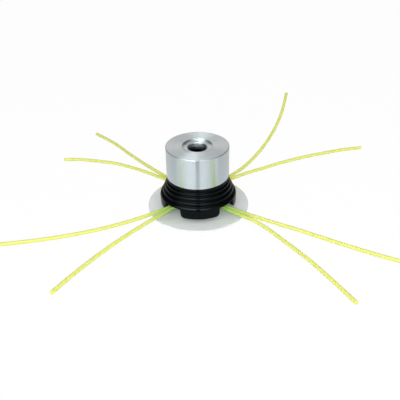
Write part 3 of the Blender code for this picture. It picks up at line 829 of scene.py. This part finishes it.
def half_strand(azimuth, offset, end, side, posts, diameter):
    """Guide points of half a strand, from the apex of its fold out to its tip."""
    outward = Vector((math.cos(azimuth), math.sin(azimuth), 0))
    across = Vector((-math.sin(azimuth), math.cos(azimuth), 0))
    height = Vector((0, 0, LINE_Z))
    post = outward * posts.circle_radius + height
    fold_radius = posts.waist_radius + SEAT + diameter / 2
    points = []
    for i in range(FOLD_POINTS):
        turn = math.pi - FOLD_STEP * i * side
        points.append(post + (outward * math.cos(turn) + across * math.sin(turn)) * fold_radius)
    for radius, part, half in reversed(LANES):
        points.append((outward * radius + across * (offset * part + side * half)) * MM + height)
    return points + [Vector(p) * MM for p in reversed(end)]


def smooth_line(guides, step):
    """Points along a smooth curve through the guides, about a step apart."""
    padded = [2 * guides[0] - guides[1]] + guides + [2 * guides[-1] - guides[-2]]
    points = []
    for a, b, c, d in zip(padded, padded[1:], padded[2:], padded[3:]):
        knots = [0.0]
        for p, q in ((a, b), (b, c), (c, d)):
            knots.append(knots[-1] + math.sqrt((q - p).length))
        pieces = max(2, round((c - b).length / step))
        for i in range(pieces):
            t = knots[1] + (knots[2] - knots[1]) * i / pieces
            ab = a.lerp(b, (t - knots[0]) / (knots[1] - knots[0]))
            bc = b.lerp(c, (t - knots[1]) / (knots[2] - knots[1]))
            cd = c.lerp(d, (t - knots[2]) / (knots[3] - knots[2]))
            abc = ab.lerp(bc, (t - knots[0]) / (knots[2] - knots[0]))
            bcd = bc.lerp(cd, (t - knots[1]) / (knots[3] - knots[1]))
            points.append(abc.lerp(bcd, (t - knots[1]) / (knots[2] - knots[1])))
    return points + [guides[-1]]


class TRIMMER_OT_line(bpy.types.Operator):
    """Nylon strands, each folded round its post, as two free ends that meet at the fold"""
    bl_idname = "trimmer.line"
    bl_label = "Nylon Line"

    def execute(self, context):
        line = context.scene.trimmer_line
        posts = context.scene.trimmer_fasteners
        nylon = drawn_nylon(line)
        for number, (turn, offset, first, second) in enumerate(STRANDS, 1):
            azimuth = math.radians(turn)
            for letter, end, side in (("a", first, 1), ("b", second, -1)):
                guides = half_strand(azimuth, offset, end, side, posts, line.diameter)
                points = smooth_line(guides, line.step)
                name = f"line_end_{number}{letter}"
                curve = bpy.data.curves.new(name, "CURVE")
                curve.dimensions = "3D"
                curve.bevel_depth = line.diameter / 2
                curve.bevel_resolution = 6
                curve.use_fill_caps = True
                spline = curve.splines.new("POLY")
                spline.points.add(len(points) - 1)
                for spot, point in zip(spline.points, points):
                    spot.co = (*point, 1.0)
                spline.use_smooth = True
                curve.materials.append(nylon)
                piece = bpy.data.objects.new(name, curve)
                context.scene.collection.objects.link(piece)
                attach(piece, BODY)
                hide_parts(f"line_strand_{number}")
        return {"FINISHED"}


def card(name, size, where, material):
    """A stage card that only mirrored rays see."""
    piece = placed(plane(name, 1.0), where @ Matrix.Diagonal((*size, 1.0, 1.0)))
    piece.data.materials.append(material)
    piece.visible_camera = piece.visible_diffuse = piece.visible_shadow = False
    piece.visible_transmission = piece.visible_volume_scatter = False


class TRIMMER_OT_stage(bpy.types.Operator):
    """Camera, soft lights, white table, and the cards and flags that mirrored rays see"""
    bl_idname = "trimmer.stage"
    bl_label = "Studio"

    def execute(self, context):
        scene, stage = context.scene, context.scene.trimmer_stage
        a, e, r = stage.azimuth, stage.elevation, stage.roll
        back = Vector((math.sin(a) * math.cos(e), -math.cos(a) * math.cos(e), math.sin(e)))
        right = Vector((math.cos(a), math.sin(a), 0))
        up = back.cross(right)
        rolled = (right * math.cos(r) + up * math.sin(r), up * math.cos(r) - right * math.sin(r), back)
        bpy.ops.object.camera_add(location=stage.position)
        camera = context.object
        camera.name = "studio_camera"
        camera.rotation_euler = Matrix(rolled).transposed().to_euler()
        camera.data.sensor_width = 36.0
        camera.data.lens = stage.lens
        camera.data.clip_start, camera.data.clip_end = 0.01, 50.0
        scene.camera = camera

        table = plane("table", 8.0)
        table.data.materials.append(white_table(stage.table_white, scene.trimmer_disc.hole_radius))

        # two soft lamps that look at a point 10 mm over the ground: a wide one above and left of the camera, and a
        # small one at the camera that fills the shadows
        for name, turn, height, distance, size, power in (
                ("softbox", math.radians(-8), math.radians(50), 0.9, (1.2, 0.3), stage.key_power),
                ("camera_fill", stage.azimuth, stage.elevation, 0.95, (0.24, 0.16), stage.fill_power)):
            aim = Matrix.Rotation(turn, 4, "Z") @ Matrix.Rotation(math.pi / 2 - height, 4, "X")
            spot = aim @ Vector((0, 0, distance)) + Vector((0, 0, 0.01))
            bpy.ops.object.light_add(type="AREA", location=spot, rotation=aim.to_euler())
            lamp = context.object
            lamp.name = name
            lamp.data.shape, (lamp.data.size, lamp.data.size_y) = "RECTANGLE", size
            lamp.data.energy = power
            lamp.visible_camera = lamp.visible_glossy = False

        # the softbox as it is seen in the beads: wide, 50 degrees up, and fading towards both ends
        aim = Matrix.Rotation(math.radians(-20), 4, "Z") @ Matrix.Rotation(math.radians(40), 4, "X")
        wide, deep = 2.4, 0.45
        cloth = card_face("softbox_cloth", stage.softbox_level, along=aim.to_3x3().col[0][:], half=wide / 2)
        card("softbox_face", (wide, deep), aim @ Matrix.Translation((0, 0, 0.9)), cloth)
        for name, size, place, facing, turn, glow, *tint in CARDS:
            glow = getattr(stage, glow) if isinstance(glow, str) else glow
            where = Matrix.Rotation(math.radians(turn), 4, "Z") @ Matrix.Translation(place) @ FACING[facing]
            card(name, size, where, card_face(f"{name}_face", glow, *tint))

        world = bpy.data.worlds.new("studio_room")
        scene.world = world
        world.use_nodes = True
        tree = world.node_tree
        tree.nodes.clear()
        out = add(tree, "ShaderNodeOutputWorld")
        strength = add(tree, "ShaderNodeMapRange", {"Value": seen(tree)},
                       {"To Min": stage.room_light, "To Max": 1.0}).outputs[0]
        light = add(tree, "ShaderNodeBackground", {"Strength": strength}, {"Color": (1, 1, 1, 1)})
        tree.links.new(light.outputs[0], out.inputs["Surface"])
        scene.view_settings.view_transform = "Standard"
        return {"FINISHED"}


class TRIMMER_PT_panel(bpy.types.Panel):
    """Pieces of the trimmer head and their settings"""
    bl_label = "Trimmer Head"
    bl_idname = "TRIMMER_PT_panel"
    bl_space_type = "VIEW_3D"
    bl_region_type = "UI"
    bl_category = "Trimmer Head"

    def draw(self, context):
        for operator in OPERATORS:
            self.layout.operator(operator.bl_idname)
        for name in SETTINGS:
            box = self.layout.box()
            box.label(text=name.replace("_", " ").title())
            for prop in getattr(context.scene, name).bl_rna.properties:
                if not prop.is_readonly and prop.identifier != "name":
                    box.prop(getattr(context.scene, name), prop.identifier)


OPERATORS = (TRIMMER_OT_stage, TRIMMER_OT_line, TRIMMER_OT_hub, TRIMMER_OT_insert, TRIMMER_OT_housing,
             TRIMMER_OT_disc, TRIMMER_OT_posts)


def register():
    for made in (*SETTINGS.values(), *OPERATORS, TRIMMER_PT_panel):
        bpy.utils.register_class(made)
    for name, settings in SETTINGS.items():
        setattr(bpy.types.Scene, name, PointerProperty(type=settings))


def unregister():
    for name in SETTINGS:
        delattr(bpy.types.Scene, name)
    for made in reversed((*SETTINGS.values(), *OPERATORS, TRIMMER_PT_panel)):
        bpy.utils.unregister_class(made)


def main():
    register()
    bpy.ops.trimmer.stage()
    bpy.ops.trimmer.line()
    bpy.ops.trimmer.hub()
    bpy.ops.trimmer.insert()
    bpy.ops.trimmer.housing()
    bpy.ops.trimmer.disc()
    bpy.ops.trimmer.posts()


if __name__ == "__main__":
    main()
